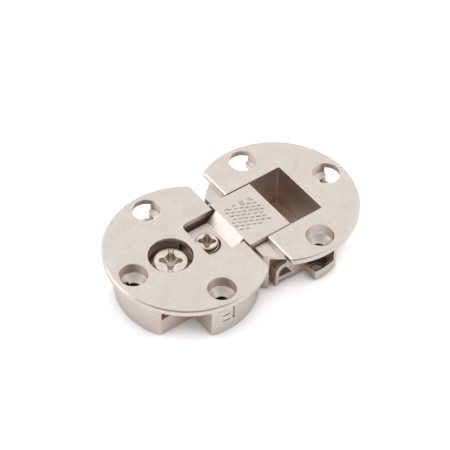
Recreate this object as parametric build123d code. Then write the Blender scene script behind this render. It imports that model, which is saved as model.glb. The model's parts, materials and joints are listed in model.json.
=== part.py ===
from build123d import *
import math
import os

# Two-cup flap hinge, lying open at 180 degrees. The joint line between the two panels is
# x = 0, the flap cup is at -X and the cabinet cup at +X. Heights count up from the bottom
# of the cups, so both flanges and the arm are flush at face_z.

# --- cups and flanges -------------------------------------------------------------
cup_radius = 17.4            # drops into a 35 mm drilling
cup_depth = 11.3             # below the seat face of the flange
flange_overhang = 2.6         # flange beyond the cup, all round
flange_thickness = 1.5
flange_bevel = 0.35
chord_corner_round = 1.2
cup_offset = 13.3            # joint line to the axis of each cup
flap_chord = 1.2             # joint line to the straight edge of the flap flange
cabinet_chord = 4.1          # joint line to the straight edge of the cabinet flange
wall = 1.1                   # outer walls of both castings
rib = 0.9                    # inner ribs
rib_recess = 1.5             # ribs stop this far above the bottom of the cup
corner_round = 0.45
tail_half_width = 9.6        # both castings narrow to this beyond their ears

# --- fixing holes: one at the end and one at each side, on one circle about the cup axis ---
fixing_inset = 2.2           # from the outside of the cup to the axis of each hole
side_fixing_angle = 86.0     # measured from the long axis
fixing_hole_radius = 1.8     # for 3.5 mm screws
head_hole_radius = 3.45      # the screw head passes the flange and seats below it
seat_sink = 1.6              # straight part of the bore below the flange, above its cone
screw_seat_angle = 90.0
collar_wall = 0.9
collar_depth = 3.4
mouth_half_width = 2.3       # each fixing channel is open outwards below the flange
mouth_depth = 3.9

# --- pivot ------------------------------------------------------------------------
pin_radius = 1.5
pin_recess = 0.2             # pin ends lie this far inside the bosses
pin_chamfer = 0.25
pivot_x = 11.2
pivot_depth = 9.0            # below the flush top face
running_clearance = 0.05     # pin in the barrel, on the radius
press_clearance = 0.01       # pin in the cup walls, on the radius
barrel_radius = 2.8
boss_wall = 1.4
boss_length = 1.3

# --- pocket of the cabinet cup ------------------------------------------------------
pocket_half_width = 8.4
pocket_end = 20.45
pocket_floor = 0.7
pocket_wall = 1.2
pocket_corner_round = 0.6

# --- open end of the cabinet cup ----------------------------------------------------
cabinet_end = 0.3            # joint line to the nearest point of the cabinet casting
wing_thickness = 0.8
wing_run = 1.2               # how far the wings run on under the flange
web_y = 13.2                 # outer face of the webs beside the pocket
web_thickness = 1.0
web_lift = 1.5               # lower edge of the web beside its leg
web_brow = 7.4               # where the web reaches up to the flange
brow_drop = 2.2
leg_x = 3.3
leg_width = 0.9
leg_depth = 2.1
post_width = 1.1
post_depth = 1.3
arch_end = 8.2
arch_sill = 2.6
arch_top = 5.2
arch_band = 1.2
arch_round = 1.4
ear_start = 12.2             # the ears carry the side fixing holes
ear_end = 19.2
ear_window_sill = 3.4        # at the outer wall
ear_window_fall = 2.2        # the sill is this much lower at its inner end
ear_window_inner = 12.3

# --- flap cup ---------------------------------------------------------------------
flap_shoulder = 18.1         # where the flap casting narrows to its tail
slot_half_width = 6.3
slot_end = 10.7
slot_corner_round = 1.6
well_x = 18.0
well_radius = 5.4
well_wall = 0.9
well_depth = 2.5
trough_half_width = 7.0
trough_floor = 1.2
tail_window_width = 4.0
tail_window_sill = 5.0
tail_window_inset = 0.5
groove_width = 0.6
groove_depth = 0.5
groove_low = 3.2
groove_high = 8.0
slit_length = 2.1
slit_height = 0.45
slit_levels = (3.5, 5.4)
relief_clearance = 0.3       # flap casting to the wing tips while the flap swings

# --- arm --------------------------------------------------------------------------
arm_side_gap = 0.3           # arm to each pocket wall
arm_edge_gap = 0.3           # arm to the straight edge of the flap flange
block_end = 11.1
block_thickness = 3.2
ramp_drop = 2.6
tongue_half_width = 5.5
tongue_step = 2.1            # second drop of the tongue, hidden below the flap flange
tongue_thickness = 2.2
tongue_tip = 2.0             # metal beyond the clamping slot
tongue_end_gap = 0.3
tongue_round = 2.5
step_start = 11.2
root_x = 1.5                 # lower face of the tongue runs to here
root_rise = 3.6
strut_width = 5.4
arm_edge_round = 0.25

# --- clamping and adjusting ----------------------------------------------------------
gap_travel = 2.0             # the flap cup can move this far away from the arm
clamp_shank_radius = 2.4
clamp_slot_clearance = 0.3
clamp_head_radius = 4.15
clamp_head_height = 2.2
clamp_head_bevel = 0.55
clamp_head_gap = 0.2         # room for the flap cup to tilt
clamp_thread_clearance = 0.05
clamp_thread_depth = 4.3
clamp_foot_gap = 0.2         # blind end of the thread below the screw
clamp_boss_radius = 3.9
clamp_boss_gap = 0.4
washer_radius = 4.6
washer_thickness = 0.45
washer_clearance = 0.1
height_screw_x = 7.5
height_screw_radius = 2.6
height_screw_proud = 0.9
height_thread_clearance = 0.05
height_foot_gap = 0.15
height_relief_gap = 0.85      # the thread shows in a relief round the top of the screw
height_relief_depth = 1.5
height_pad_radius = 3.2
height_pad_height = 1.6
screw_chamfer = 0.35
recess_turn = 53.0           # both recesses as the screws come to rest
recess_tip_angle = 11.0      # half the angle that the tip of an arm spans
recess_waist = 0.42          # inner corners, as a share of the reach of the arms
recess_taper = 12.0
recess_depth = 1.3
driver_slot_width = 0.9
driver_slot_depth = 0.6

# --- worked out -------------------------------------------------------------------
flange_radius = cup_radius + flange_overhang
fixing_radius = cup_radius - fixing_inset
seat_z = cup_depth
face_z = cup_depth + flange_thickness
pivot_z = face_z - pivot_depth
wing_bottom = seat_z - wing_thickness
pocket_outer = pocket_half_width + pocket_wall
boss_end = pocket_outer + boss_length
arm_half_width = pocket_half_width - arm_side_gap
block_start = arm_edge_gap - flap_chord
block_bottom = face_z - block_thickness
tongue_top = face_z - ramp_drop
rear_top = tongue_top - tongue_step
rear_bottom = rear_top - tongue_thickness
clamp_slot_half_width = clamp_shank_radius + clamp_slot_clearance
tongue_end = well_x + gap_travel + clamp_slot_half_width + tongue_tip
trough_end = tongue_end + tongue_end_gap
washer_bottom = rear_top + washer_clearance
head_bottom = washer_bottom + washer_thickness + clamp_head_gap
clamp_boss_top = rear_bottom - clamp_boss_gap
clamp_foot = clamp_boss_top - clamp_thread_depth
height_pad_top = trough_floor + height_pad_height
relief_radius = math.hypot(pivot_x - cabinet_end, seat_z - pivot_z) + relief_clearance
relief_depth = relief_radius - pivot_x - flap_chord
STAND = (Align.CENTER, Align.CENTER, Align.MIN)
HANG = (Align.CENTER, Align.CENTER, Align.MAX)


def slab(x_low, x_high, y_low, y_high):
    """Flat rectangle between two plan corners."""
    middle = Pos((x_low + x_high) / 2, (y_low + y_high) / 2)
    return middle * Rectangle(x_high - x_low, y_high - y_low)


def rise(sketch, z_low, z_high):
    """Plan sketch turned into a solid between two heights."""
    return Pos(0, 0, z_low) * extrude(sketch, z_high - z_low)


def side_profile(points):
    """Closed outline in X and Z."""
    return Plane.XZ * make_face(Polyline(points, close=True))


def across(points, half_width):
    """Side outline turned into a solid that spans both sides of the middle plane."""
    return extrude(side_profile(points), half_width, both=True)


def post(radius, x, y, z_low, z_high):
    """Upright cylinder."""
    return Pos(x, y, z_low) * Cylinder(radius, z_high - z_low, align=STAND)


def cross_bar(radius, x, z, y_low, y_high):
    """Cylinder lying along Y."""
    return Pos(x, (y_low + y_high) / 2, z) * Rot(90, 0, 0) * Cylinder(radius, y_high - y_low)


def both_sides(shape):
    """Shape and its mirror image across the middle plane."""
    return shape + mirror(shape, Plane.XZ)


def tangent_point(x, z, turn):
    """Where a line from (x, z) touches the barrel; turn is 1 for its left side, -1 for its right."""
    away_x = x - pivot_x
    away_z = z - pivot_z
    bearing = math.atan2(away_z, away_x)
    opening = math.acos(barrel_radius / math.hypot(away_x, away_z))
    angle = bearing + turn * opening
    return pivot_x + barrel_radius * math.cos(angle), pivot_z + barrel_radius * math.sin(angle)


# --- features shared by both castings -------------------------------------------------

def drilling(side):
    """Plan circle of one cup; side is -1 for the flap and 1 for the cabinet."""
    return Pos(side * cup_offset, 0) * Circle(cup_radius)


def fixing_places(side):
    """Plan positions of the three fixing holes of one cup."""
    angle = math.radians(side_fixing_angle)
    x = side * (cup_offset + fixing_radius * math.cos(angle))
    y = fixing_radius * math.sin(angle)
    return [(side * (cup_offset + fixing_radius), 0), (x, y), (x, -y)]


def flange(side, chord):
    """Flange plate: a disc cut off by a straight edge, with round corners and a bevelled top."""
    disc = Pos(side * cup_offset, 0) * Circle(flange_radius)
    reach = Pos(side * (chord + flange_radius), 0) * Rectangle(2 * flange_radius, 2 * flange_radius)
    plan = disc & reach
    plate = rise(fillet(plan.vertices(), chord_corner_round), seat_z, face_z)
    return chamfer(plate.faces().sort_by(Axis.Z)[-1].edges(), flange_bevel)


def fixing_collars(side):
    """Short collars below the flange that seat the screws, kept inside the drilling."""
    collars = Part()
    for x, y in fixing_places(side):
        collars += post(head_hole_radius + collar_wall, x, y, seat_z - collar_depth, seat_z)
    return collars & rise(drilling(side), 0, seat_z)


def head_holes(side):
    """Holes in the flange through which the screw heads pass."""
    holes = Part()
    for x, y in fixing_places(side):
        holes += post(head_hole_radius, x, y, seat_z - 1, face_z + 1)
    return holes


def screw_channels(side):
    """Conical seats and channels below the flange, open outwards in their upper part."""
    depth = head_hole_radius / math.tan(math.radians(screw_seat_angle / 2))
    seat_top = seat_z - seat_sink
    cuts = Part()
    for x, y in fixing_places(side):
        outward = math.degrees(math.atan2(y, x - side * cup_offset))
        mouth = slab(0, flange_radius - fixing_radius, -mouth_half_width, mouth_half_width)
        cuts += Pos(x, y, 0) * Rot(0, 0, outward) * rise(mouth, seat_z - mouth_depth, seat_z + 1)
        cuts += post(fixing_hole_radius, x, y, -1, seat_z + 1)
        cuts += post(head_hole_radius, x, y, seat_top, seat_z + 1)
        cuts += Pos(x, y, seat_top) * Cone(0, head_hole_radius, depth, align=HANG)
    return cuts


def shell(plan, top):
    """Outer wall that follows a plan outline, open above and below."""
    outer = fillet(plan.vertices(), corner_round)
    return rise(outer, 0, top) - rise(offset(outer, -wall, kind=Kind.INTERSECTION), -1, top + 1)


# --- cabinet cup --------------------------------------------------------------------

def pocket_box():
    """Walls and floor of the pocket that takes the arm."""
    outer = slab(cabinet_end, pocket_end + pocket_wall, -pocket_outer, pocket_outer)
    return rise(outer, 0, seat_z)


def pocket_room():
    """Room for the arm, open at the joint line and through the flange."""
    inner = slab(-1, pocket_end, -pocket_half_width, pocket_half_width)
    inner = fillet(inner.vertices().sort_by(Axis.X)[-2:], pocket_corner_round)
    return rise(inner, pocket_floor, face_z + 1)


def wings():
    """Thin plates that carry the cup on past the flange to the joint line."""
    plan = drilling(1) & slab(cabinet_end, cabinet_chord + wing_run, pocket_half_width, cup_radius)
    return both_sides(rise(plan, wing_bottom, seat_z))


def ears():
    """Side lobes that carry the side fixing holes."""
    plan = drilling(1) & slab(ear_start, ear_end, pocket_outer - wall, cup_radius)
    return both_sides(shell(plan, seat_z))


def ear_windows():
    """Large openings round the outer corner of each ear, with a sill that falls inwards."""
    outline = Plane.YZ * make_face(Polyline([
        (ear_window_inner, ear_window_sill - ear_window_fall), (cup_radius + 1, ear_window_sill),
        (cup_radius + 1, seat_z), (ear_window_inner, seat_z),
    ], close=True))
    return both_sides(Pos(ear_start, 0, 0) * extrude(outline, ear_end - wall - ear_start))


def tail():
    """Narrow end of the cabinet casting, ribbed lengthwise."""
    plan = drilling(1) & slab(pocket_end, cup_offset + cup_radius, -tail_half_width, tail_half_width)
    body = shell(plan, seat_z)
    ribs = slab(pocket_end, cup_offset + fixing_radius, tail_half_width / 3 - rib, tail_half_width / 3)
    return body + both_sides(rise(ribs, rib_recess, seat_z))


def arch_web():
    """Web beside the pocket: a leg, an arch over an opening, and a brow up to the flange."""
    leg_end = leg_x + leg_width
    crown = arch_top + arch_band
    outline = side_profile([
        (leg_x, 0), (leg_end, 0), (leg_end, web_lift), (ear_start + wall, 0),
        (ear_start + wall, seat_z), (web_brow, seat_z), (web_brow, seat_z - brow_drop),
        (web_brow - arch_band, crown), (leg_x, crown),
    ])
    opening = side_profile([
        (leg_end, arch_sill), (arch_end, arch_sill - arch_band / 2),
        (web_brow - arch_band, arch_top), (leg_end, arch_top),
    ])
    inner_corner = opening.vertices().sort_by(Axis.X)[:2].sort_by(Axis.Z)[-1:]
    outer_corner = outline.vertices().sort_by(Axis.X)[:2].sort_by(Axis.Z)[-1:]
    band = fillet(outer_corner, arch_round + arch_band / 2) - fillet(inner_corner, arch_round)
    web = Pos(0, web_y, 0) * extrude(band, web_thickness)
    leg = rise(slab(leg_x, leg_end, web_y - leg_depth, web_y), 0, crown - arch_round)
    leg = fillet(leg.faces().sort_by(Axis.Z)[0].edges(), leg_width / 4)
    return both_sides(web + leg)


def corner_posts():
    """Posts below the outer corners of the wings."""
    reach = math.sqrt(cup_radius ** 2 - (cup_offset - cabinet_end - post_width) ** 2)
    plan = drilling(1) & slab(cabinet_end, cabinet_end + post_width, reach - post_depth, reach)
    return both_sides(rise(plan, 0, wing_bottom))


def pin_bosses():
    """Bosses outside the pocket walls that hold the ends of the pivot pin."""
    radius = pin_radius + boss_wall
    return both_sides(cross_bar(radius, pivot_x, pivot_z, pocket_outer - wall, boss_end))


def build_cabinet_cup():
    """Cabinet casting: flange, pocket, wings, webs, ears, tail and pin bosses."""
    cup = pocket_box() + tail() + ears() + arch_web() - ear_windows()
    cup += corner_posts() + pin_bosses() + wings() + fixing_collars(1)
    pin_hole = cross_bar(pin_radius + press_clearance, pivot_x, pivot_z, -boss_end, boss_end)
    cup = cup - pocket_room() - pin_hole - screw_channels(1)
    return cup + (flange(1, cabinet_chord) - pocket_room() - head_holes(1))


# --- flap cup -----------------------------------------------------------------------

def flap_shell():
    """Outer wall of the flap casting, narrowed to a tail beyond its shoulders."""
    front = slab(-flap_shoulder, -flap_chord, -cup_radius, cup_radius)
    back = slab(-cup_offset - cup_radius, -flap_shoulder, -tail_half_width, tail_half_width)
    plan = drilling(-1) & (front + back)
    nose = slab(-flap_chord - relief_depth - wall, 0, -cup_radius, cup_radius)
    return shell(plan, seat_z) + rise(nose & fillet(plan.vertices(), corner_round), 0, seat_z)


def flap_ribs():
    """Cross ribs that stiffen the two side lobes."""
    pitch = (flap_shoulder - flap_chord) / 3
    ribs = Part()
    for step in (1, 2):
        x = -flap_shoulder + step * pitch
        ribs += rise(slab(x, x + rib, trough_half_width, cup_radius), rib_recess, seat_z)
    return both_sides(ribs & rise(drilling(-1), 0, seat_z))


def trough():
    """Channel with a floor in which the tongue of the arm lies."""
    side = trough_half_width + wall
    outer = rise(slab(-trough_end - wall, -flap_chord, -side, side), 0, seat_z)
    inner = slab(-trough_end, 0, -trough_half_width, trough_half_width)
    return outer - rise(inner, trough_floor, seat_z + 1)


def trough_room():
    """Opening of the end wall through which the tongue enters the trough."""
    inner = slab(-trough_end, 0, -trough_half_width, trough_half_width)
    return rise(inner, trough_floor, seat_z)


def clamp_boss():
    """Boss below the tongue for the clamping screw."""
    return post(clamp_boss_radius, -well_x, 0, 0, clamp_boss_top)


def clamp_thread():
    """Blind thread in the boss."""
    radius = clamp_shank_radius + clamp_thread_clearance
    return post(radius, -well_x, 0, clamp_foot - clamp_foot_gap, clamp_boss_top + 1)


def height_pad():
    """Long pad on the trough floor under the height screw, as long as the gap travel."""
    plan = SlotCenterToCenter(gap_travel, 2 * height_pad_radius)
    return rise(Pos(gap_travel / 2 - height_screw_x, 0) * plan, 0, height_pad_top)


def well_skirt():
    """Short wall that hangs below the rim of the well, left open where the tongue passes."""
    skirt = post(well_radius + well_wall, -well_x, 0, seat_z - well_depth, seat_z)
    skirt -= post(well_radius, -well_x, 0, 0, face_z)
    gate = tongue_half_width + arm_side_gap
    return skirt - rise(slab(-well_x + well_radius - well_wall, 0, -gate, gate), 0, face_z)


def flange_openings():
    """Slot for the arm and well for the clamping screw."""
    slot = slab(-slot_end, 1, -slot_half_width, slot_half_width)
    slot = fillet(slot.vertices().sort_by(Axis.X)[:2], slot_corner_round)
    well = Pos(-well_x, 0) * Circle(well_radius)
    return rise(slot + well, seat_z - 1, face_z + 1)


def flap_flange():
    """Flap flange with its slot, well and holes, and the skirt below the rim of the well."""
    return flange(-1, flap_chord) - flange_openings() - head_holes(-1) + well_skirt()


def tail_windows():
    """Windows high in the two side walls of the tail."""
    corner = cup_offset + math.sqrt(cup_radius ** 2 - tail_half_width ** 2) - tail_window_inset
    window = slab(-corner, -corner + tail_window_width, tail_half_width - 2 * wall, cup_radius)
    return both_sides(rise(window, tail_window_sill, seat_z))


def wall_marks():
    """Ejector groove and two short slits in the outer wall at each side."""
    start = cup_radius - groove_depth
    middle = -cup_offset + groove_width
    groove = rise(slab(middle, middle + groove_width, start, cup_radius + 1), groove_low, groove_high)
    marks = groove
    for level in slit_levels:
        slit = slab(middle - groove_width - slit_length, middle - groove_width, start, cup_radius + 1)
        marks += rise(slit, level, level + slit_height)
    return both_sides(marks)


def build_flap_cup():
    """Flap casting: flange, outer wall, trough, boss, pad and ribs, relieved for the swing."""
    cup = flap_shell() + flap_ribs() + fixing_collars(-1) - trough_room()
    cup += trough() + clamp_boss() + height_pad()
    cup -= cross_bar(relief_radius, pivot_x, pivot_z, -flange_radius, flange_radius)
    cup = cup - clamp_thread() - tail_windows() - wall_marks() - screw_channels(-1)
    return cup + flap_flange()


# --- arm ------------------------------------------------------------------------------

def arm_block():
    """Block that fills the pocket mouth, with the strut that carries it on the pin."""
    right = tangent_point(block_end, block_bottom, -1)
    left = tangent_point(block_end - strut_width, block_bottom, 1)
    body = across([
        (block_start, face_z), (block_end, face_z), (block_end, block_bottom), right,
        (pivot_x, pivot_z), left, (block_end - strut_width, block_bottom), (block_start, block_bottom),
    ], arm_half_width)
    return body + cross_bar(barrel_radius, pivot_x, pivot_z, -arm_half_width, arm_half_width)


def arm_tongue():
    """Ramp and stepped tongue that reach below the flap flange."""
    body = across([
        (block_start, face_z), (block_start - ramp_drop, tongue_top), (-step_start, tongue_top),
        (-step_start - tongue_step, rear_top), (-tongue_end, rear_top), (-tongue_end, rear_bottom),
        (root_x, rear_bottom), (root_x + root_rise, block_bottom), (root_x + root_rise, face_z),
    ], tongue_half_width)
    tip = body.edges().filter_by(Axis.Z).sort_by(Axis.X)[:2]
    return fillet(tip, tongue_round)


def build_hinge_arm():
    """Arm casting: block, strut, barrel and slotted tongue."""
    body = arm_block() + arm_tongue()
    beyond = arm_half_width + 1
    body -= cross_bar(pin_radius + running_clearance, pivot_x, pivot_z, -beyond, beyond)
    clamp_slot = Pos(-well_x - gap_travel / 2, 0) * SlotCenterToCenter(gap_travel, 2 * clamp_slot_half_width)
    body -= rise(clamp_slot, rear_bottom - 1, rear_top + 1)
    thread = height_screw_radius + height_thread_clearance
    body -= post(thread, -height_screw_x, 0, rear_bottom - 1, tongue_top + 1)
    relief = height_screw_radius + height_relief_gap
    body -= post(relief, -height_screw_x, 0, tongue_top - height_relief_depth, tongue_top + 1)
    top = body.faces().filter_by(Axis.Z).sort_by(Axis.Z)[-1]
    ends = top.edges().filter_by(Axis.X)
    return fillet(ends + top.edges().filter_by(Axis.Y).sort_by(Axis.X)[-1:], arm_edge_round)


# --- pin, screws and washer -------------------------------------------------------------

def build_pivot_pin():
    """Headless pin pressed into both pocket walls."""
    half = boss_end - pin_recess
    pin = cross_bar(pin_radius, pivot_x, pivot_z, -half, half)
    return chamfer(pin.edges().filter_by(GeomType.CIRCLE), pin_chamfer)


def cross_recess(x, top, reach):
    """Driver recess of four arms with flared flanks, which narrows towards its bottom."""
    corners = []
    for quarter in range(4):
        for bearing, share in ((-recess_tip_angle, 1), (recess_tip_angle, 1), (45, recess_waist)):
            angle = math.radians(recess_turn + 90 * quarter + bearing)
            corners.append((reach * share * math.cos(angle), reach * share * math.sin(angle)))
    plan = make_face(Polyline(corners, close=True))
    return Pos(x, 0, top) * extrude(plan, -recess_depth, taper=recess_taper)


def build_clamp_screw():
    """Pan-head screw with a cross recess crossed by a driver slot."""
    head_top = head_bottom + clamp_head_height
    head = post(clamp_head_radius, -well_x, 0, head_bottom, head_top)
    head = chamfer(head.edges().filter_by(GeomType.CIRCLE).sort_by(Axis.Z)[-1:], clamp_head_bevel)
    shank = post(clamp_shank_radius, -well_x, 0, clamp_foot, head_bottom)
    shank = chamfer(shank.edges().filter_by(GeomType.CIRCLE).sort_by(Axis.Z)[:1], screw_chamfer)
    slot = Rot(0, 0, recess_turn) * Rectangle(2 * clamp_head_radius + 1, driver_slot_width)
    cut = Pos(-well_x, 0, head_top) * extrude(slot, -driver_slot_depth)
    return head + shank - cut - cross_recess(-well_x, head_top, clamp_head_radius * 0.66)


def build_clamp_washer():
    """Flat washer between the clamping screw and the slotted tongue."""
    disc = post(washer_radius, -well_x, 0, washer_bottom, washer_bottom + washer_thickness)
    hole = clamp_shank_radius + clamp_slot_clearance
    return disc - post(hole, -well_x, 0, washer_bottom - 1, washer_bottom + 2)


def build_height_screw():
    """Grub screw that stands on the pad and carries the tongue."""
    foot = height_pad_top + height_foot_gap
    top = tongue_top + height_screw_proud
    body = post(height_screw_radius, -height_screw_x, 0, foot, top)
    body = chamfer(body.edges().filter_by(GeomType.CIRCLE), screw_chamfer)
    return body - cross_recess(-height_screw_x, top, height_screw_radius * 0.8)


PIECES = {
    "cabinet_cup": build_cabinet_cup,
    "flap_cup": build_flap_cup,
    "hinge_arm": build_hinge_arm,
    "pivot_pin": build_pivot_pin,
    "clamp_screw": build_clamp_screw,
    "clamp_washer": build_clamp_washer,
    "height_screw": build_height_screw,
}


def main():
    os.makedirs("parts", exist_ok=True)
    for node, build in PIECES.items():
        export_step(build(), "parts/" + node + ".step")


main()
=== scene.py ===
"""Looks of a two-cup flap hinge that lies open on a pale table.

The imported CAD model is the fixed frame. This script gives every CAD node its
finish, draws both screws with their recesses, and adds what is too fine for the
solids: the grip dashes on the arm, the rolled threads, the lip round the
adjusting screw and the webs in the bottoms of the ears.
"""

from __future__ import annotations

import json
import logging
import math
import random
from dataclasses import dataclass, field
from enum import Enum

import bmesh
import bpy
from mathutils import Matrix, Vector

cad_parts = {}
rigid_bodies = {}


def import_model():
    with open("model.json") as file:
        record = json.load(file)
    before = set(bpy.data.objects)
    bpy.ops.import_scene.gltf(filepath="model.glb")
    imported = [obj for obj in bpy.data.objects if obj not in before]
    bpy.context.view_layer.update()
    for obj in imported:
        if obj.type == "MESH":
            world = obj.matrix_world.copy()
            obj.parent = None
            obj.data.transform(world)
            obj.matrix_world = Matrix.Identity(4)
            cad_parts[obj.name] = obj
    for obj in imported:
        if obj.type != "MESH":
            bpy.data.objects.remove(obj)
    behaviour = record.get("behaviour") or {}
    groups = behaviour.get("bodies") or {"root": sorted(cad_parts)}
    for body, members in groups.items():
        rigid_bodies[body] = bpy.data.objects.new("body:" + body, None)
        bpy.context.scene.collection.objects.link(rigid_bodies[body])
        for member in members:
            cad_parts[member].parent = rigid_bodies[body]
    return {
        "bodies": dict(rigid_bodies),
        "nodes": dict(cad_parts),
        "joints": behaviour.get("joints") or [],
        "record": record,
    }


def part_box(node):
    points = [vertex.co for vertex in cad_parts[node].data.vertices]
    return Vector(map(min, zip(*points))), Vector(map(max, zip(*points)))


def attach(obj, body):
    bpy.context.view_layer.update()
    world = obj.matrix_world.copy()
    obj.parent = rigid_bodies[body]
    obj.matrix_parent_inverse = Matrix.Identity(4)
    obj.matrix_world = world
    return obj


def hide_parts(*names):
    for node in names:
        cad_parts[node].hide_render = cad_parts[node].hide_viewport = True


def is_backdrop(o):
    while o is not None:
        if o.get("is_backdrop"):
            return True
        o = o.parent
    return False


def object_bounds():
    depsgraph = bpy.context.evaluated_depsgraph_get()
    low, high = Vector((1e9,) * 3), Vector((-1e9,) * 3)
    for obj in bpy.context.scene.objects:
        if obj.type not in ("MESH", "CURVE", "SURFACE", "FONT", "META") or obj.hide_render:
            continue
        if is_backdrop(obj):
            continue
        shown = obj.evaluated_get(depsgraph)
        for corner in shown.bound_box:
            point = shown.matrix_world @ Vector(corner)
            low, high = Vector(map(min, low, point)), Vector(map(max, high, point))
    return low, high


LOG = logging.getLogger("flap_hinge")
MM = 0.001
CREASE = math.radians(38)

Point = tuple[float, float]
Span = tuple[float, float]

END_SCREW_MM: Point = (28.5, 0.0)
SIDE_SCREW_MM: Point = (14.36, 15.163)


class Body(str, Enum):
    """CAD bodies that carry the pieces made here."""

    CABINET = "cabinet"
    ARM = "arm"
    CLAMPING = "clamping_screw"
    ADJUSTING = "adjusting_screw"


class Slot(str, Enum):
    """Material slots of the record, stored with the pieces made here; this script does not assign
    them.
    """

    CAST = "cast_nickel"
    SCREW = "screw_nickel"


@dataclass(frozen=True)
class Tint:
    """Linear colour without alpha."""

    red: float
    green: float
    blue: float

    def rgba(self) -> tuple[float, float, float, float]:
        """Gives the colour for a shader socket.

        Returns:
            Red, green, blue and an alpha of 1.
        """
        return (self.red, self.green, self.blue, 1.0)

    def scaled(self, factor: float) -> Tint:
        """Gives a darker or lighter version of the colour.

        Args:
            factor: What each channel is multiplied by.

        Returns:
            The new colour.
        """
        return Tint(self.red * factor, self.green * factor, self.blue * factor)


PURE_WHITE = Tint(1.0, 1.0, 1.0)
Feed = bpy.types.NodeSocket | Tint | float | tuple


class NodeSheet:
    """Node tree of one finish or of the world, with short calls to add and join nodes."""

    def __init__(self, owner: bpy.types.Material | bpy.types.World) -> None:
        """Empties the owner's tree.

        Args:
            owner: The material or world to fill.
        """
        owner.use_nodes = True
        self.owner = owner
        self.tree = owner.node_tree
        self.tree.nodes.clear()

    def feed(self, socket: bpy.types.NodeSocket, value: Feed) -> None:
        """Joins an output to a socket, or writes a plain value into it.

        Args:
            socket: The input socket.
            value: An output, a colour or a number.
        """
        if isinstance(value, bpy.types.NodeSocket):
            self.tree.links.new(value, socket)
        else:
            socket.default_value = value.rgba() if isinstance(value, Tint) else value

    def add(self, kind: str, **values: object) -> bpy.types.Node:
        """Adds a node and sets its properties and inputs.

        Args:
            kind: Class name of the node.
            **values: Property names, or input names with spaces written as __.

        Returns:
            The new node.
        """
        node = self.tree.nodes.new(kind)
        for key, value in values.items():
            socket = key.replace("__", " ")
            if socket in node.inputs:
                self.feed(node.inputs[socket], value)
            else:
                setattr(node, key, value)
        return node

    def add_in_order(self, kind: str, *inputs: Feed, **values: object) -> bpy.types.Node:
        """Adds a node whose inputs are told apart by their order.

        Args:
            kind: Class name of the node.
            *inputs: What goes into its first inputs.
            **values: Property names.

        Returns:
            The new node.
        """
        node = self.add(kind, **values)
        for socket, value in zip(node.inputs, inputs):
            self.feed(socket, value)
        return node

    def math(self, operation: str, *inputs: Feed) -> bpy.types.NodeSocket:
        """Calculates with numbers.

        Args:
            operation: Name of the operation.
            *inputs: Its operands.

        Returns:
            The result.
        """
        return self.add_in_order("ShaderNodeMath", *inputs, operation=operation).outputs[0]

    def mix_numbers(self, share: Feed, low: Feed, high: Feed) -> bpy.types.NodeSocket:
        """Mixes two numbers.

        Args:
            share: Zero for the first, one for the second.
            low: First number.
            high: Second number.

        Returns:
            The mixed number.
        """
        node = self.add("ShaderNodeMix", data_type="FLOAT", Factor=share, A=low, B=high)
        return node.outputs[0]

    def mix_tints(self, share: Feed, low: Feed, high: Feed) -> bpy.types.NodeSocket:
        """Mixes two colours.

        Args:
            share: Zero for the first, one for the second.
            low: First colour.
            high: Second colour.

        Returns:
            The mixed colour.
        """
        node = self.add("ShaderNodeMix", data_type="RGBA", Factor=share)
        first, second = [socket for socket in node.inputs if socket.type == "RGBA"]
        self.feed(first, low)
        self.feed(second, high)
        return next(socket for socket in node.outputs if socket.type == "RGBA")

    def ramp(
        self, source: Feed, low: tuple[float, Tint], high: tuple[float, Tint]
    ) -> bpy.types.NodeSocket:
        """Maps a number to a colour between two stops.

        Args:
            source: The number.
            low: Place and colour of the first stop.
            high: Place and colour of the second stop.

        Returns:
            The colour.
        """
        node = self.add("ShaderNodeValToRGB", Fac=source)
        for element, (place, tint) in zip(node.color_ramp.elements, (low, high)):
            element.position = place
            element.color = tint.rgba()
        return node.outputs["Color"]

    def remap(
        self, source: Feed, read: Span = (0.0, 1.0), give: Span = (0.0, 1.0), curve: str = "LINEAR"
    ) -> bpy.types.NodeSocket:
        """Maps one range of numbers to another.

        Args:
            source: The number.
            read: Range that is read.
            give: Range that is given.
            curve: Name of the curve between them.

        Returns:
            The mapped number.
        """
        node = self.add(
            "ShaderNodeMapRange", interpolation_type=curve, Value=source,
            From__Min=read[0], From__Max=read[1], To__Min=give[0], To__Max=give[1],
        )
        return node.outputs["Result"]

    def larger(
        self, first: bpy.types.NodeSocket | None, second: bpy.types.NodeSocket
    ) -> bpy.types.NodeSocket:
        """Takes the larger of two shares.

        Args:
            first: A share, or nothing.
            second: A share.

        Returns:
            The larger share, or the second if there is no first.
        """
        return second if first is None else self.math("MAXIMUM", first, second)

    def openness(self, reach: float, samples: int = 8) -> bpy.types.NodeSocket:
        """Tells how open a surface lies.

        Args:
            reach: How far neighbouring surfaces count, in metres.
            samples: Number of tries.

        Returns:
            Zero in a closed corner, one in the open.
        """
        return self.add("ShaderNodeAmbientOcclusion", samples=samples, Distance=reach).outputs["AO"]

    def rounded(self, radius: float, samples: int) -> bpy.types.NodeSocket:
        """Gives the surface direction with its edges broken.

        Args:
            radius: Radius of the edges in metres.
            samples: Number of tries.

        Returns:
            The direction.
        """
        return self.add("ShaderNodeBevel", samples=samples, Radius=radius).outputs["Normal"]

    def edge_highlight_mask(self, direction: bpy.types.NodeSocket, read: Span) -> bpy.types.NodeSocket:
        """Tells where a broken edge turns the surface, which is where a painted highlight goes.

        Args:
            direction: Surface direction with its edges broken.
            read: Agreement with the flat face, from no painted highlight to a full one.

        Returns:
            Zero on faces, one on sharp edges.
        """
        flat = self.add("ShaderNodeNewGeometry").outputs["Normal"]
        agree = self.add_in_order("ShaderNodeVectorMath", direction, flat, operation="DOT_PRODUCT")
        return self.remap(agree.outputs["Value"], read)

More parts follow.
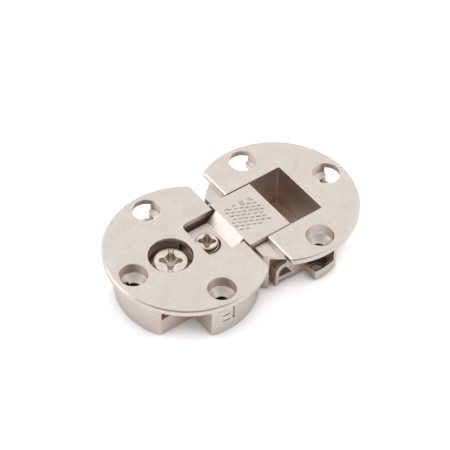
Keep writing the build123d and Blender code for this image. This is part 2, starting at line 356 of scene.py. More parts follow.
    def noise(
        self, scale: float, detail: float, rough: float = 0.5,
        stretch: tuple[float, float, float] | None = None,
    ) -> bpy.types.NodeSocket:
        """Gives noise in the object's own space.

        Args:
            scale: Cells per metre.
            detail: Octaves.
            rough: Weight of the finer octaves.
            stretch: Factor on each axis, if the cells aren't round.

        Returns:
            The noise, from 0 to 1.
        """
        place = self.add("ShaderNodeTexCoord").outputs["Object"]
        if stretch is not None:
            place = self.add("ShaderNodeMapping", Vector=place, Scale=stretch).outputs["Vector"]
        node = self.add(
            "ShaderNodeTexNoise", Vector=place, Scale=scale, Detail=detail, Roughness=rough
        )
        return node.outputs["Fac"]

    def finish(self, shader: bpy.types.NodeSocket) -> bpy.types.Material | bpy.types.World:
        """Joins the last shader to the output.

        Args:
            shader: Output of the last shader.

        Returns:
            The filled material or world.
        """
        kind = "World" if isinstance(self.owner, bpy.types.World) else "Material"
        self.add(f"ShaderNodeOutput{kind}", Surface=shader)
        return self.owner


@dataclass(frozen=True)
class SatinNickel:
    """Tumbled zinc casting with satin nickel plating: fine grain, painted brown shade in its
    hollows, painted dark shadow in narrow gaps and painted highlights on its edges and screw seats.
    """

    name: str = "satin_nickel"
    face: Tint = Tint(0.81, 0.74, 0.685)
    shade: Tint = Tint(0.70, 0.63, 0.575)
    # The next two colours are painted shade: brown in hollows and near black in narrow gaps.
    hollow_shade: Tint = Tint(0.78, 0.49, 0.34)
    gap_shadow: Tint = Tint(0.26, 0.15, 0.10)
    # Painted highlight: near-white colour laid on broken edges.
    edge_highlight: Tint = Tint(1.0, 0.97, 0.93)
    roughness: Span = (0.27, 0.42)
    hollow_roughness: float = 0.72
    hollow_metal: float = 0.2
    grain_per_m: float = 2600.0
    cloud_per_m: float = 260.0
    grain_height: float = 0.16
    grain_depth: float = 0.05 * MM
    speck_share: float = 0.6
    speck_stops: Span = (0.36, 0.62)
    cavity_reach: float = 8.0 * MM
    open_span: Span = (0.2, 0.46)
    painted_shade_stops: Span = (0.08, 0.26)
    edge_radius: float = 0.22 * MM
    highlight_span: Span = (0.998, 0.93)
    seats_mm: tuple[Point, ...] = ()
    seat_apex_mm: float = 6.25
    seat_top_mm: float = 9.74
    seat_skin_mm: float = 0.12

    def seat_highlight_mask(self, sheet: NodeSheet) -> bpy.types.NodeSocket | None:
        """Finds the screw seats, which get a painted highlight and no painted shade although they
        lie in holes.

        A seat is a cone: its radius at each height is the height above its apex.

        Args:
            sheet: Node sheet of the material.

        Returns:
            One on the seats and zero elsewhere, or nothing for a piece without seats.
        """
        if not self.seats_mm:
            return None
        place = sheet.add("ShaderNodeTexCoord").outputs["Object"]
        mirrored = sheet.add_in_order("ShaderNodeVectorMath", place, operation="ABSOLUTE")
        axes = sheet.add_in_order("ShaderNodeSeparateXYZ", mirrored.outputs[0]).outputs
        plan = sheet.add("ShaderNodeCombineXYZ", X=axes["X"], Y=axes["Y"]).outputs[0]
        below = sheet.math("LESS_THAN", axes["Z"], self.seat_top_mm * MM)
        cone = sheet.math("SUBTRACT", axes["Z"], self.seat_apex_mm * MM)
        mask = None
        for x, y in self.seats_mm:
            reach = sheet.add_in_order(
                "ShaderNodeVectorMath", plan, (x * MM, y * MM, 0.0), operation="DISTANCE"
            )
            near = sheet.math("COMPARE", reach.outputs["Value"], cone, self.seat_skin_mm * MM)
            mask = sheet.larger(mask, sheet.math("MULTIPLY", near, below))
        return mask

    def material(self) -> bpy.types.Material:
        """Builds the node material.

        Returns:
            The finished material.
        """
        sheet = NodeSheet(bpy.data.materials.new(self.name))
        clouds = sheet.noise(self.cloud_per_m, detail=4.0, rough=0.6)
        grain = sheet.noise(self.grain_per_m, detail=3.0, rough=0.65)
        speck = sheet.mix_numbers(self.speck_share, clouds, grain)
        dull, clean = self.speck_stops
        base = sheet.ramp(speck, (dull, self.shade), (clean, self.face))
        openness = sheet.openness(self.cavity_reach)
        # The screw seats get a painted highlight and are kept out of the painted shade.
        seat_highlight = self.seat_highlight_mask(sheet)
        bright = sheet.larger(seat_highlight, sheet.remap(openness, self.open_span))
        # Painted shade: the colour turns brown, then near black, the more closed in the surface
        # lies.
        closed, wide = self.painted_shade_stops
        painted_shade = sheet.ramp(openness, (closed, self.gap_shadow), (wide, self.hollow_shade))
        rounded = sheet.rounded(self.edge_radius, samples=6)
        # Painted highlight on broken edges and on the screw seats.
        edge_glint = sheet.larger(seat_highlight, sheet.edge_highlight_mask(rounded, self.highlight_span))
        bump = sheet.add(
            "ShaderNodeBump", Strength=self.grain_height, Distance=self.grain_depth,
            Height=grain, Normal=rounded,
        )
        satin = sheet.remap(grain, give=self.roughness)
        shader = sheet.add(
            "ShaderNodeBsdfPrincipled",
            Base__Color=sheet.mix_tints(edge_glint, sheet.mix_tints(bright, painted_shade, base), self.edge_highlight),
            Metallic=sheet.remap(bright, give=(self.hollow_metal, 1.0)),
            Roughness=sheet.mix_numbers(bright, self.hollow_roughness, satin),
            Normal=bump.outputs["Normal"],
        )
        return sheet.finish(shader.outputs[0])


@dataclass(frozen=True)
class BrightNickel:
    """Barrel-plated steel screws: smoother than the castings, with painted warm shade in the
    recess.
    """

    name: str = "bright_nickel"
    face: Tint = Tint(0.83, 0.77, 0.69)
    shade: Tint = Tint(0.72, 0.64, 0.55)
    # Painted shade: warm dark colour in the cross recess.
    hollow_shade: Tint = Tint(0.36, 0.235, 0.155)
    hollow_metal: float = 0.5
    roughness: Span = (0.14, 0.26)
    scratch_per_m: float = 5200.0
    scratch_height: float = 0.08
    scratch_depth: float = 0.03 * MM
    cloud_per_m: float = 700.0
    cloud_stops: Span = (0.3, 0.6)
    cavity_reach: float = 1.6 * MM
    open_span: Span = (0.6, 0.97)
    edge_radius: float = 0.1 * MM

    def material(self) -> bpy.types.Material:
        """Builds the node material.

        Returns:
            The finished material.
        """
        sheet = NodeSheet(bpy.data.materials.new(self.name))
        clouds = sheet.noise(self.cloud_per_m, detail=3.0)
        scratches = sheet.noise(self.scratch_per_m, detail=2.0)
        dull, clean = self.cloud_stops
        base = sheet.ramp(clouds, (dull, self.shade), (clean, self.face))
        bright = sheet.remap(sheet.openness(self.cavity_reach), self.open_span)
        bump = sheet.add(
            "ShaderNodeBump", Strength=self.scratch_height, Distance=self.scratch_depth,
            Height=scratches, Normal=sheet.rounded(self.edge_radius, samples=4),
        )
        shader = sheet.add(
            "ShaderNodeBsdfPrincipled",
            Base__Color=sheet.mix_tints(bright, self.hollow_shade, base),
            Metallic=sheet.remap(bright, give=(self.hollow_metal, 1.0)),
            Roughness=sheet.remap(scratches, give=self.roughness),
            Normal=bump.outputs["Normal"],
        )
        return sheet.finish(shader.outputs[0])


@dataclass(frozen=True)
class DrawnSteel:
    """Plain drawn steel of the pin and the washer, with marks along the draw."""

    name: str = "drawn_steel"
    face: Tint = Tint(0.60, 0.57, 0.53)
    shade: Tint = Tint(0.44, 0.41, 0.38)
    roughness: Span = (0.24, 0.42)
    streaks_per_m: float = 3000.0
    streak_stretch: tuple[float, float, float] = (1.0, 0.08, 1.0)
    streak_stops: Span = (0.3, 0.65)
    streak_height: float = 0.15
    streak_depth: float = 0.02 * MM

    def material(self) -> bpy.types.Material:
        """Builds the node material.

        Returns:
            The finished material.
        """
        sheet = NodeSheet(bpy.data.materials.new(self.name))
        streaks = sheet.noise(self.streaks_per_m, detail=3.0, stretch=self.streak_stretch)
        dull, clean = self.streak_stops
        bump = sheet.add(
            "ShaderNodeBump", Strength=self.streak_height, Distance=self.streak_depth,
            Height=streaks,
        )
        shader = sheet.add(
            "ShaderNodeBsdfPrincipled",
            Base__Color=sheet.ramp(streaks, (dull, self.shade), (clean, self.face)),
            Metallic=1.0,
            Roughness=sheet.remap(streaks, give=self.roughness),
            Normal=bump.outputs["Normal"],
        )
        return sheet.finish(shader.outputs[0])


@dataclass(frozen=True)
class PaleTable:
    """White table top that stays white round the object and keeps its shadow."""

    name: str = "pale_table"
    paint: Tint = Tint(0.9, 0.9, 0.9)
    fibre_shade: float = 0.99
    fibres_per_m: float = 900.0
    fibre_stops: Span = (0.3, 0.7)
    glow: float = 0.62
    mirrored_share: float = 0.6
    contact_reach: float = 9.0 * MM
    contact_span: Span = (0.25, 0.85)

    def material(self) -> bpy.types.Material:
        """Builds the node material.

        Returns:
            The finished material.
        """
        sheet = NodeSheet(bpy.data.materials.new(self.name))
        dull, clean = self.fibre_stops
        paint = sheet.ramp(
            sheet.noise(self.fibres_per_m, detail=2.0),
            (dull, self.paint.scaled(self.fibre_shade)), (clean, self.paint),
        )
        matt = sheet.add("ShaderNodeBsdfDiffuse", Roughness=1.0, Color=paint)
        openness = sheet.openness(self.contact_reach, samples=12)
        lit = sheet.remap(openness, self.contact_span, (0.0, self.glow), "SMOOTHSTEP")
        ray = sheet.add("ShaderNodeLightPath").outputs
        direct = sheet.math("MAXIMUM", ray["Is Camera Ray"], ray["Is Transmission Ray"])
        mirrored = sheet.math("MULTIPLY", ray["Is Glossy Ray"], self.mirrored_share)
        seen = sheet.math("MAXIMUM", direct, mirrored)
        glow = sheet.add(
            "ShaderNodeEmission", Color=PURE_WHITE, Strength=sheet.math("MULTIPLY", seen, lit)
        )
        both = sheet.add_in_order("ShaderNodeAddShader", matt.outputs[0], glow.outputs[0])
        return sheet.finish(both.outputs[0])


Finish = SatinNickel | BrightNickel | DrawnSteel | PaleTable


class Finishes:
    """Makes each finish once and hands it out."""

    _only: Finishes | None = None

    def __init__(self) -> None:
        """Starts with no material made."""
        self._made: dict[str, bpy.types.Material] = {}

    @classmethod
    def shared(cls) -> Finishes:
        """Gives the one set of finishes.

        Returns:
            The shared set.
        """
        if cls._only is None:
            cls._only = cls()
        return cls._only

    def material(self, finish: Finish) -> bpy.types.Material:
        """Gives the material of a finish.

        Args:
            finish: The finish.

        Returns:
            Its material, made on first use.
        """
        if finish.name not in self._made:
            self._made[finish.name] = finish.material()
        return self._made[finish.name]


@dataclass(frozen=True)
class Mark:
    """Name of a small piece, the body that it rides on, its material slot and its finish."""

    name: str
    body: Body
    slot: Slot
    finish: Finish

    def place(self, mesh: bmesh.types.BMesh, smooth: bool = True) -> bpy.types.Object:
        """Turns a mesh into a piece that rides on its body.

        Args:
            mesh: The geometry in metres, in the shared frame.
            smooth: Whether faces are shaded smoothly between creases.

        Returns:
            The new object.
        """
        data = bpy.data.meshes.new(self.name)
        bmesh.ops.recalc_face_normals(mesh, faces=mesh.faces)
        for face in mesh.faces:
            face.smooth = smooth
        mesh.to_mesh(data)
        mesh.free()
        if smooth:
            data.set_sharp_from_angle(angle=CREASE)
        piece = bpy.data.objects.new(self.name, data)
        bpy.context.scene.collection.objects.link(piece)
        data.materials.append(Finishes.shared().material(self.finish))
        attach(piece, self.body.value)
        LOG.info("%s: %d faces on body %s", self.name, len(data.polygons), self.body.value)
        return piece


def round_ring(
    mesh: bmesh.types.BMesh, centre_mm: Point, radius_mm: float, level_mm: float, count: int
) -> list[bmesh.types.BMVert]:
    """Adds a level ring of corners.

    Args:
        mesh: Mesh that receives it.
        centre_mm: Centre in X and Y.
        radius_mm: Radius.
        level_mm: Height.
        count: Number of corners.

    Returns:
        The corners in order.
    """
    ring = []
    for step in range(count):
        angle = 2 * math.pi * step / count
        x = centre_mm[0] + radius_mm * math.cos(angle)
        y = centre_mm[1] + radius_mm * math.sin(angle)
        ring.append(mesh.verts.new(Vector((x, y, level_mm)) * MM))
    return ring


def bridge(mesh: bmesh.types.BMesh, rings: list[list[bmesh.types.BMVert]]) -> None:
    """Joins each closed ring to the next with faces.

    Args:
        mesh: Mesh that holds the rings.
        rings: Rings with the same number of corners.
    """
    for first, second in zip(rings, rings[1:]):
        for step in range(len(first)):
            other = (step + 1) % len(first)
            mesh.faces.new((first[step], first[other], second[other], second[step]))


def cap(mesh: bmesh.types.BMesh, rings: list[list[bmesh.types.BMVert]]) -> None:
    """Closes the first and the last ring and turns all faces outwards.

    Args:
        mesh: Mesh that holds the rings.
        rings: The bridged rings.
    """
    mesh.faces.new(rings[0])
    mesh.faces.new(rings[-1])
    bmesh.ops.recalc_face_normals(mesh, faces=mesh.faces)


@dataclass(frozen=True)
class CadDress:
    """Gives the CAD nodes their finishes."""

    cups: SatinNickel = SatinNickel(
        name="satin_nickel_cups", seats_mm=(END_SCREW_MM, SIDE_SCREW_MM)
    )
    cast: SatinNickel = SatinNickel()
    screw: BrightNickel = BrightNickel()
    steel: DrawnSteel = DrawnSteel()

    def finish_of(self, node: str) -> Finish:
        """Picks the finish of a node.

        Args:
            node: Name of the CAD node.

        Returns:
            The finish.
        """
        chosen = {
            "cabinet_cup": self.cups,
            "flap_cup": self.cups,
            "clamp_screw": self.screw,
            "height_screw": self.screw,
            "pivot_pin": self.steel,
            "clamp_washer": self.steel,
        }
        return chosen.get(node, self.cast)

    def dress(self, nodes: dict[str, bpy.types.Object]) -> None:
        """Assigns the finishes.

        Args:
            nodes: CAD objects by name.
        """
        for name, node in nodes.items():
            finish = self.finish_of(name)
            node.data.materials.clear()
            node.data.materials.append(Finishes.shared().material(finish))
            LOG.info("node %s: %s, %d faces", name, finish.name, len(node.data.polygons))


@dataclass(frozen=True)
class GripPad:
    """Rows of short raised dashes on the top of the arm's block, coloured darker than the block as
    painted shade round the dashes.
    """

    corners_mm: tuple[Point, ...] = (
        (9.2, 4.2), (-0.2, 4.2), (-0.4, -2.7), (1.6, -4.3), (8.3, -4.4), (9.2, -3.2),
    )
    middle_mm: Point = (5.0, 0.0)
    row_turn_deg: float = -24.5
    row_pitch_mm: float = 1.13
    row_shift: float = 0.35
    rows: range = range(-9, 10)
    columns: range = range(-8, 9)
    row_lift: Span = (0.7, 1.0)
    dash_pitch_mm: float = 1.42
    dash_mm: tuple[float, float, float] = (1.1, 0.36, 0.12)
    dash_corners: int = 12
    dash_fullness: float = 0.6
    dash_rings: tuple[Point, ...] = ((1.0, -0.02), (0.86, 0.75), (0.6, 1.0))
    border_mm: tuple[float, float, float] = (0.2, 8.9, 4.25)
    border_spacing: float = 1.25
    border_lift: float = 0.8
    border_sway_deg: Span = (-14.0, 6.0)
    # Painted shade: the dashes take a darker colour than the block for the shade round them.
    finish: SatinNickel = SatinNickel(
        name="grip_shade_nickel",
        face=Tint(0.60, 0.56, 0.52),
        shade=Tint(0.42, 0.385, 0.35),
        hollow_shade=Tint(0.30, 0.24, 0.20),
        gap_shadow=Tint(0.20, 0.15, 0.12),
        edge_highlight=Tint(0.60, 0.56, 0.52),
        cavity_reach=0.5 * MM,
        edge_radius=0.04 * MM,
    )
    seed: int = 7

    def inside(self, spot: Vector) -> bool:
        """Tells whether a point lies in the pad.

        Args:
            spot: Place on the block's face in millimetres.

        Returns:
            True inside the outline.
        """
        following = self.corners_mm[1:] + self.corners_mm[:1]
        return all(
            (bx - ax) * (spot.y - ay) - (by - ay) * (spot.x - ax) >= 0
            for (ax, ay), (bx, by) in zip(self.corners_mm, following)
        )

    def dash(
        self, mesh: bmesh.types.BMesh, spot_mm: Vector, top_mm: float, lift: float, bearing: float
    ) -> None:
        """Adds one dash: a low cushion with sloping sides.

        Args:
            mesh: Mesh that receives it.
            spot_mm: Centre on the block's face.
            top_mm: Height of the block's face.
            lift: Share of the full height.
            bearing: Angle of the dash from the long axis in degrees.
        """
        length, width, height = self.dash_mm
        turn = Matrix.Rotation(math.radians(bearing), 4, "Z")
        rings = []
        for share, level in self.dash_rings:
            ring = []
            for step in range(self.dash_corners):
                angle = 2 * math.pi * step / self.dash_corners
                along, across = (
                    math.copysign(abs(part) ** self.dash_fullness, part)
                    for part in (math.cos(angle), math.sin(angle))
                )
                corner = Vector((
                    along * length / 2, across * width / 2 * share, height * level * lift,
                ))
                spot = turn @ corner + Vector((spot_mm.x, spot_mm.y, top_mm))
                ring.append(mesh.verts.new(spot * MM))
            rings.append(ring)
        bridge(mesh, rings)
        mesh.faces.new(rings[-1])

    def build(self, top_mm: float) -> bpy.types.Object:
        """Makes the pad.

        Args:
            top_mm: Height of the block's face.

        Returns:
            The piece.
        """
        mesh = bmesh.new()
        rng = random.Random(self.seed)
        angle = math.radians(self.row_turn_deg)
        along = Vector((math.cos(angle), math.sin(angle)))
        across = Vector((-math.sin(angle), math.cos(angle)))
        for row in self.rows:
            line = Vector(self.middle_mm) + across * row * self.row_pitch_mm
            for column in self.columns:
                shift = (row % 2) * self.row_shift + column
                spot = line + along * shift * self.dash_pitch_mm
                if all(self.inside(spot + along * side * self.dash_mm[0] / 2) for side in (-1, 1)):
                    self.dash(mesh, spot, top_mm, rng.uniform(*self.row_lift), self.row_turn_deg)
        start, stop, level = self.border_mm
        count = int((stop - start) / (self.border_spacing * self.dash_pitch_mm))
        for step in range(count):
            spot = Vector((start + (step + 0.5) * (stop - start) / count, level))
            self.dash(mesh, spot, top_mm, self.border_lift, rng.uniform(*self.border_sway_deg))
        return Mark("grip_pad", Body.ARM, Slot.CAST, self.finish).place(mesh)


@dataclass(frozen=True)
class RolledThread:
    """Helical ridge round the shank of a screw, where the shank is open to view."""

    name: str
    body: Body
    x_mm: float
    radius_mm: float
    low_mm: float
    high_mm: float
    crest_mm: float
    pitch_mm: float = 0.8
    half_share: float = 0.47
    profile: tuple[Point, ...] = ((-1.0, -0.5), (-0.2, 1.0), (0.2, 1.0), (1.0, -0.5))
    steps: int = 48
    fade_turns: float = 0.25

    def build(self) -> bpy.types.Object:
        """Makes the ridge, with its ends faded into the shank.

        Returns:
            The piece.
        """
        mesh = bmesh.new()
        half = self.pitch_mm * self.half_share
        turns = (self.high_mm - self.low_mm - 2 * half) / self.pitch_mm
        count = int(turns * self.steps)
        fade_steps = self.steps * self.fade_turns
        rings = []
        for step in range(count + 1):
            angle = 2 * math.pi * step / self.steps
            fade = min(1.0, step / fade_steps, (count - step) / fade_steps)
            level = self.low_mm + half + step * self.pitch_mm / self.steps
            ring = []
            for along, out in self.profile:
                reach = self.radius_mm + self.crest_mm * (out * fade if out > 0 else out)
                ring.append(mesh.verts.new(Vector((
                    self.x_mm + reach * math.cos(angle),
                    reach * math.sin(angle),
                    level + along * half,
                )) * MM))
            rings.append(ring)
        for first, second in zip(rings, rings[1:]):
            for index in range(len(self.profile) - 1):
                mesh.faces.new((first[index], second[index], second[index + 1], first[index + 1]))
        return Mark(self.name, self.body, Slot.SCREW, BrightNickel()).place(mesh)


@dataclass(frozen=True)
class DriveScrew:
    """Screw with a flared cross recess and, on the large one, a driver slot across the head."""

    name: str
    node: str
    body: Body
    x_mm: float
    head_radius_mm: float
    head_low_mm: float
    top_mm: float
    edge_mm: float
    shank_radius_mm: float
    foot_mm: float
    reach_mm: float
    waist_mm: float
    slot_mm: tuple[float, float] | None = None
    arm: tuple[Point, ...] = ((0.7, -0.27), (0.92, -0.2), (1.0, 0.0), (0.92, 0.2), (0.7, 0.27))
    waist: tuple[Point, ...] = ((0.78, 0.62), (0.62, 0.78))
    taper: tuple[Point, ...] = ((1.04, -0.2), (1.0, 0.0), (0.8, 0.7), (0.5, 1.0), (0.12, 1.25))
    recess_depth_mm: float = 1.5
    turn_deg: float = 53.0
    edge_steps: int = 6
    head_break_mm: float = 0.1
    foot_bevel_mm: float = 0.35
    slot_overrun_mm: float = 1.0
    segments: int = 96

    def profile(self) -> list[Point]:
        """Gives half of the turned outline, from the top down.

        Returns:
            Radius and height of each corner in millimetres.
        """
        points = []
        for step in range(self.edge_steps):
            angle = math.radians(90 - 90 * step / (self.edge_steps - 1))
            points.append((
                self.head_radius_mm - self.edge_mm + self.edge_mm * math.cos(angle),
                self.top_mm - self.edge_mm + self.edge_mm * math.sin(angle),
            ))
        if self.head_low_mm > self.foot_mm:
            points.append((self.head_radius_mm, self.head_low_mm + self.head_break_mm))
            points.append((self.head_radius_mm - self.head_break_mm, self.head_low_mm))
            points.append((self.shank_radius_mm, self.head_low_mm))
        points.append((self.shank_radius_mm, self.foot_mm + self.foot_bevel_mm))
        points.append((self.shank_radius_mm - self.foot_bevel_mm, self.foot_mm))
        return points

    def blank(self) -> bmesh.types.BMesh:
        """Makes the turned blank: head, shank and foot.

        Returns:
            The closed mesh.
        """
        mesh = bmesh.new()
        rings = [
            round_ring(mesh, (self.x_mm, 0.0), radius, level, self.segments)
            for radius, level in self.profile()
        ]
        bridge(mesh, rings)
        cap(mesh, rings)
        return mesh

    def star(self, scale: float, level_mm: float) -> list[Vector]:
        """Gives the outline of the recess at one height.

        Args:
            scale: Size against the outline at the top.
            level_mm: Height.

        Returns:
            Points in millimetres.
        """
        quarter = [Vector(point) * self.reach_mm for point in self.arm]
        quarter += [Vector(point) * self.waist_mm for point in self.waist]
        points = []
        for index in range(4):
            turn = Matrix.Rotation(math.radians(self.turn_deg + 90 * index), 2)
            for point in quarter:
                x, y = turn @ point * scale
                points.append(Vector((self.x_mm + x, y, level_mm)))
        return points

    def recess(self) -> bmesh.types.BMesh:
        """Makes the tapered cutter of the recess.

        Returns:
            The closed mesh.
        """
        mesh = bmesh.new()
        rings = []
        for scale, drop in self.taper:
            level = self.top_mm - drop * self.recess_depth_mm
            rings.append([mesh.verts.new(point * MM) for point in self.star(scale, level)])
        bridge(mesh, rings)
        cap(mesh, rings)
        return mesh

    def slot(self, width_mm: float, depth_mm: float) -> bmesh.types.BMesh:
        """Makes the cutter of the driver slot.

        Args:
            width_mm: Width.
            depth_mm: Depth below the top.

        Returns:
            The closed mesh.
        """
        mesh = bmesh.new()
        bmesh.ops.create_cube(mesh, size=1.0)
        length_mm = 2 * self.head_radius_mm + 2 * self.slot_overrun_mm
        size = Matrix.Diagonal((length_mm, width_mm, 2 * depth_mm, 1.0))
        turn = Matrix.Rotation(math.radians(self.turn_deg), 4, "Z")
        shift = Matrix.Translation((self.x_mm, 0, self.top_mm))
        mesh.transform(Matrix.Scale(MM, 4) @ shift @ turn @ size)
        return mesh

    def cut(self, blank: bmesh.types.BMesh, cutters: list[bmesh.types.BMesh]) -> bmesh.types.BMesh:
        """Takes the cutters from the blank.

        Args:
            blank: The turned blank.
            cutters: Closed meshes that are taken away.

        Returns:
            The cut mesh.
        """
        holders = []
        for index, mesh in enumerate([blank, *cutters]):
            data = bpy.data.meshes.new(f"{self.name}_part_{index}")
            mesh.to_mesh(data)
            mesh.free()
            holder = bpy.data.objects.new(data.name, data)
            bpy.context.scene.collection.objects.link(holder)
            holders.append(holder)
        for cutter in holders[1:]:
            step = holders[0].modifiers.new(cutter.name, "BOOLEAN")
            step.operation = "DIFFERENCE"
            step.solver = "EXACT"
            step.object = cutter
        graph = bpy.context.evaluated_depsgraph_get()
        result = bmesh.new()
        result.from_mesh(holders[0].evaluated_get(graph).to_mesh())
        for holder in holders:
            data = holder.data
            bpy.data.objects.remove(holder)
            bpy.data.meshes.remove(data)
        return result

    def build(self) -> bpy.types.Object:
        """Makes the screw in place of its plain solid.

        Returns:
            The piece.
        """
        cutters = [self.recess()]
        if self.slot_mm is not None:
            cutters.append(self.slot(*self.slot_mm))
        mesh = self.cut(self.blank(), cutters)
        piece = Mark(self.name, self.body, Slot.SCREW, BrightNickel()).place(mesh)
        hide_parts(self.node)
        return piece


@dataclass(frozen=True)
class SeatRing:
    """Lip of the tongue round the adjusting screw, a little off centre from the screw."""

    name: str = "screw_seat_ring"
    x_mm: float = -7.5
    outer_mm: float = 3.46
    inner_mm: float = 3.12
    edge_mm: float = 0.08
    shift_mm: Point = (0.06, -0.24)
    levels_mm: Span = (8.72, 10.2)
    segments: int = 64

    def build(self) -> bpy.types.Object:
        """Makes the lip.

        Returns:
            The piece.
        """
        mesh = bmesh.new()
        low, high = self.levels_mm
        outer_spot = (self.x_mm, 0.0)
        inner_spot = (self.x_mm + self.shift_mm[0], self.shift_mm[1])
        rings = [
            round_ring(mesh, spot, radius, level, self.segments)
            for spot, radius, level in (
                (outer_spot, self.outer_mm, low),
                (outer_spot, self.outer_mm, high),
                (inner_spot, self.inner_mm + self.edge_mm, high),
                (inner_spot, self.inner_mm, high - self.edge_mm),
                (inner_spot, self.inner_mm, low),
            )
        ]
        bridge(mesh, rings + rings[:1])
        return Mark(self.name, Body.ARM, Slot.CAST, SatinNickel()).place(mesh)


@dataclass(frozen=True)
class EarWeb:
    """Thin web that closes the bottom of an ear, with the hole for the screw; it hides the table
    seen through the ear and is coloured dark brown as painted shade.
    """

    name: str
    side: int
    cup_x_mm: float = 13.3
    reach_mm: float = 16.35
    low_x_mm: float = 13.25
    high_x_mm: float = 18.15
    inner_y_mm: float = 9.55
    arc_steps: int = 12
    hole_mm: Point = SIDE_SCREW_MM
    hole_radius_mm: float = 1.82
    hole_margin_mm: float = 0.3
    hole_steps: int = 28
    levels_mm: Span = (0.35, 0.95)
    # Painted shade: dark brown for the shaded inside of the ear.
    finish: SatinNickel = SatinNickel(
        name="ear_shade_casting",
        face=Tint(0.40, 0.31, 0.25),
        shade=Tint(0.27, 0.20, 0.155),
        hollow_shade=Tint(0.13, 0.085, 0.06),
        gap_shadow=Tint(0.09, 0.06, 0.045),
    )

    def arc_y(self, x: float) -> float:
        """Gives the outer edge of the web.

        Args:
            x: Place along X in millimetres.

        Returns:
            Distance from the middle line in millimetres.
        """
        return math.sqrt(self.reach_mm ** 2 - (x - self.cup_x_mm) ** 2)

    def outline(self) -> list[Point]:
        """Gives the outer loop of the web.

        Returns:
            Corners in millimetres.
        """
        points = [(self.high_x_mm, self.inner_y_mm), (self.low_x_mm, self.inner_y_mm)]
        for step in range(self.arc_steps + 1):
            x = self.low_x_mm + (self.high_x_mm - self.low_x_mm) * step / self.arc_steps
            points.append((x, self.arc_y(x)))
        return points

    def hole(self) -> list[Point]:
        """Gives the screw hole, cut off near the walls.

        Returns:
            Corners in millimetres.
        """
        points = []
        for step in range(self.hole_steps):
            angle = 2 * math.pi * step / self.hole_steps
            x = self.hole_mm[0] + self.hole_radius_mm * math.cos(angle)
            x = max(x, self.low_x_mm + self.hole_margin_mm)
            y = self.hole_mm[1] + self.hole_radius_mm * math.sin(angle)
            points.append((x, min(y, self.arc_y(x) - self.hole_margin_mm)))
        return points

    def build(self) -> bpy.types.Object:
        """Makes the web.

        Returns:
            The piece.
        """
        mesh = bmesh.new()
        low, high = self.levels_mm
        edges = []
        for loop in (self.outline(), self.hole()):
            corners = [mesh.verts.new(Vector((x, y * self.side, low)) * MM) for x, y in loop]
            pairs = zip(corners[-1:] + corners[:-1], corners)
            edges += [mesh.edges.new(pair) for pair in pairs]
        bmesh.ops.triangle_fill(mesh, use_beauty=True, use_dissolve=False, edges=edges)
        lifted = bmesh.ops.extrude_face_region(mesh, geom=mesh.faces[:])["geom"]
        corners = [part for part in lifted if isinstance(part, bmesh.types.BMVert)]
        bmesh.ops.translate(mesh, vec=Vector((0, 0, (high - low) * MM)), verts=corners)
        return Mark(self.name, Body.CABINET, Slot.CAST, self.finish).place(mesh, smooth=False)


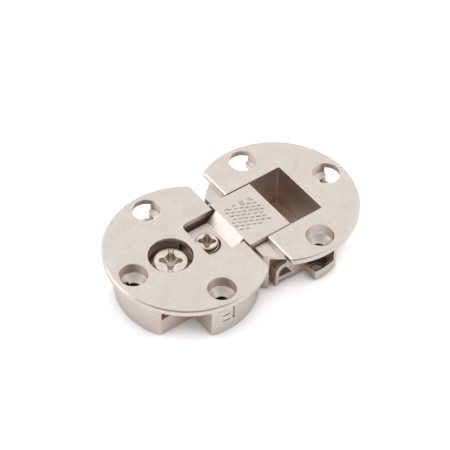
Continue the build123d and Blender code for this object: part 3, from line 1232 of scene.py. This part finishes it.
@dataclass(frozen=True)
class Studio:
    """Camera, table, world and a soft lamp, with the camera's angles in radians."""

    azimuth: float = -0.6636
    elevation: float = 0.8194
    distance_mm: float = 406.52
    roll: float = 0.0335
    target_mm: tuple[float, float, float] = (-1.954, 0.408, 12.8)
    lens_mm: float = 137.55
    sensor_mm: float = 36.0
    clip_m: Span = (0.01, 20.0)
    table_half_m: float = 4.0
    world_white: float = 0.98
    world_tint: Tint = Tint(1.0, 0.995, 0.985)
    dark_share: float = 0.38
    dark_side: tuple[float, float, float] = (-0.50, -0.62, 0.60)
    dark_span: Span = (0.35, 0.92)
    lamp_spot_m: tuple[float, float, float] = (-0.66, 0.48, 0.40)
    lamp_size_m: float = 0.5
    lamp_watts: float = 0.6

    def camera(self) -> bpy.types.Object:
        """Makes the camera.

        Returns:
            The camera object, set as the scene's camera.
        """
        azimuth, elevation = self.azimuth, self.elevation
        back = Vector((
            math.sin(azimuth) * math.cos(elevation),
            -math.cos(azimuth) * math.cos(elevation),
            math.sin(elevation),
        ))
        right = Vector((math.cos(azimuth), math.sin(azimuth), 0.0))
        up = back.cross(right)
        side = right * math.cos(self.roll) + up * math.sin(self.roll)
        top = up * math.cos(self.roll) - right * math.sin(self.roll)
        data = bpy.data.cameras.new("camera")
        data.lens = self.lens_mm
        data.sensor_width = self.sensor_mm
        data.sensor_fit = "HORIZONTAL"
        data.clip_start, data.clip_end = self.clip_m
        camera = bpy.data.objects.new("camera", data)
        bpy.context.scene.collection.objects.link(camera)
        turn = Matrix((side, top, back)).transposed().to_4x4()
        spot = (Vector(self.target_mm) + back * self.distance_mm) * MM
        camera.matrix_world = Matrix.Translation(spot) @ turn
        bpy.context.scene.camera = camera
        return camera

    def table(self, level_m: float) -> bpy.types.Object:
        """Makes the table top.

        Args:
            level_m: Height of its surface.

        Returns:
            The table, which is staging.
        """
        mesh = bmesh.new()
        bmesh.ops.create_grid(mesh, x_segments=4, y_segments=4, size=self.table_half_m)
        data = bpy.data.meshes.new("table_top")
        mesh.to_mesh(data)
        mesh.free()
        table = bpy.data.objects.new("table_top", data)
        table.location = (0.0, 0.0, level_m)
        bpy.context.scene.collection.objects.link(table)
        data.materials.append(Finishes.shared().material(PaleTable()))
        table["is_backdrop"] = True
        return table

    def world(self) -> bpy.types.World:
        """Makes an even white surround that is dim on the camera's side, as a studio is.

        Returns:
            The world, set as the scene's world.
        """
        world = bpy.data.worlds.new("studio")
        bpy.context.scene.world = world
        sheet = NodeSheet(world)
        place = sheet.add("ShaderNodeTexCoord").outputs["Generated"]
        facing = sheet.add_in_order(
            "ShaderNodeVectorMath", place, self.dark_side, operation="DOT_PRODUCT"
        )
        strength = sheet.remap(
            facing.outputs["Value"], self.dark_span,
            (self.world_white, self.world_white * self.dark_share), "SMOOTHSTEP",
        )
        light = sheet.add("ShaderNodeBackground", Color=self.world_tint, Strength=strength)
        white = sheet.add("ShaderNodeBackground", Color=PURE_WHITE, Strength=1.0)
        camera_ray = sheet.add("ShaderNodeLightPath").outputs["Is Camera Ray"]
        mix = sheet.add_in_order(
            "ShaderNodeMixShader", camera_ray, light.outputs[0], white.outputs[0]
        )
        return sheet.finish(mix.outputs[0])

    def lamp(self) -> bpy.types.Object:
        """Makes the square soft lamp that faces the object.

        Returns:
            The lamp object.
        """
        data = bpy.data.lights.new("left_box", "AREA")
        data.shape = "SQUARE"
        data.size = self.lamp_size_m
        data.energy = self.lamp_watts
        lamp = bpy.data.objects.new("left_box", data)
        lamp.location = self.lamp_spot_m
        lamp.rotation_mode = "QUATERNION"
        lamp.rotation_quaternion = Vector(self.lamp_spot_m).to_track_quat("Z", "Y")
        bpy.context.scene.collection.objects.link(lamp)
        return lamp

    def build(self, floor_m: float) -> None:
        """Makes the whole studio.

        Args:
            floor_m: Height of the table top.
        """
        self.camera()
        self.table(floor_m)
        self.world()
        self.lamp()
        bpy.context.scene.view_settings.view_transform = "Standard"
        LOG.info("studio: camera, table at %.4f m, world and one lamp", floor_m)


@dataclass(frozen=True)
class FlapHinge:
    """The whole hinge: CAD finishes and the fine pieces."""

    clamp_x_mm: float = -18.0
    adjust_x_mm: float = -7.5
    dress: CadDress = field(default_factory=CadDress)
    grip: GripPad = field(default_factory=GripPad)

    def threads(self) -> tuple[RolledThread, ...]:
        """Gives the threads of both screws.

        Returns:
            The threads, from top to bottom.
        """
        adjust = (Body.ADJUSTING, self.adjust_x_mm, 2.6)
        clamp = (Body.CLAMPING, self.clamp_x_mm, 2.4)
        return (
            RolledThread("height_thread_top", *adjust, low_mm=8.75, high_mm=10.75, crest_mm=0.34),
            RolledThread("height_thread_foot", *adjust, low_mm=3.4, high_mm=5.85, crest_mm=0.14),
            RolledThread("clamp_thread", *clamp, low_mm=5.55, high_mm=8.1, crest_mm=0.14),
        )

    def screws(self) -> tuple[DriveScrew, ...]:
        """Gives the clamping screw and the adjusting screw.

        Returns:
            Both screws.
        """
        clamping = DriveScrew(
            "clamp_screw_detail", "clamp_screw", Body.CLAMPING, self.clamp_x_mm,
            head_radius_mm=4.15, head_low_mm=8.85, top_mm=11.05, edge_mm=0.55,
            shank_radius_mm=2.4, foot_mm=1.2, reach_mm=2.85, waist_mm=1.75, slot_mm=(1.2, 0.3),
        )
        adjusting = DriveScrew(
            "height_screw_detail", "height_screw", Body.ADJUSTING, self.adjust_x_mm,
            head_radius_mm=2.6, head_low_mm=2.95, top_mm=11.1, edge_mm=0.28,
            shank_radius_mm=2.6, foot_mm=2.95, reach_mm=2.25, waist_mm=1.4,
        )
        return clamping, adjusting

    def build(self, frame: dict) -> None:
        """Dresses the CAD nodes and adds the fine pieces.
        """
        self.dress.dress(frame["nodes"])
        self.grip.build(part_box("hinge_arm")[1].z / MM)
        for piece in self.threads() + self.screws():
            piece.build()
        SeatRing(x_mm=self.adjust_x_mm).build()
        for name, side in (("ear_web_near", -1), ("ear_web_far", 1)):
            EarWeb(name, side).build()


def main() -> None:
    """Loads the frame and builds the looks."""
    logging.basicConfig(level=logging.INFO, format="%(name)s: %(message)s")
    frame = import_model()
    cad_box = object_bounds()
    FlapHinge().build(frame)
    Studio().build(cad_box[0].z)
    bpy.context.view_layer.update()


if __name__ == "__main__":
    main()
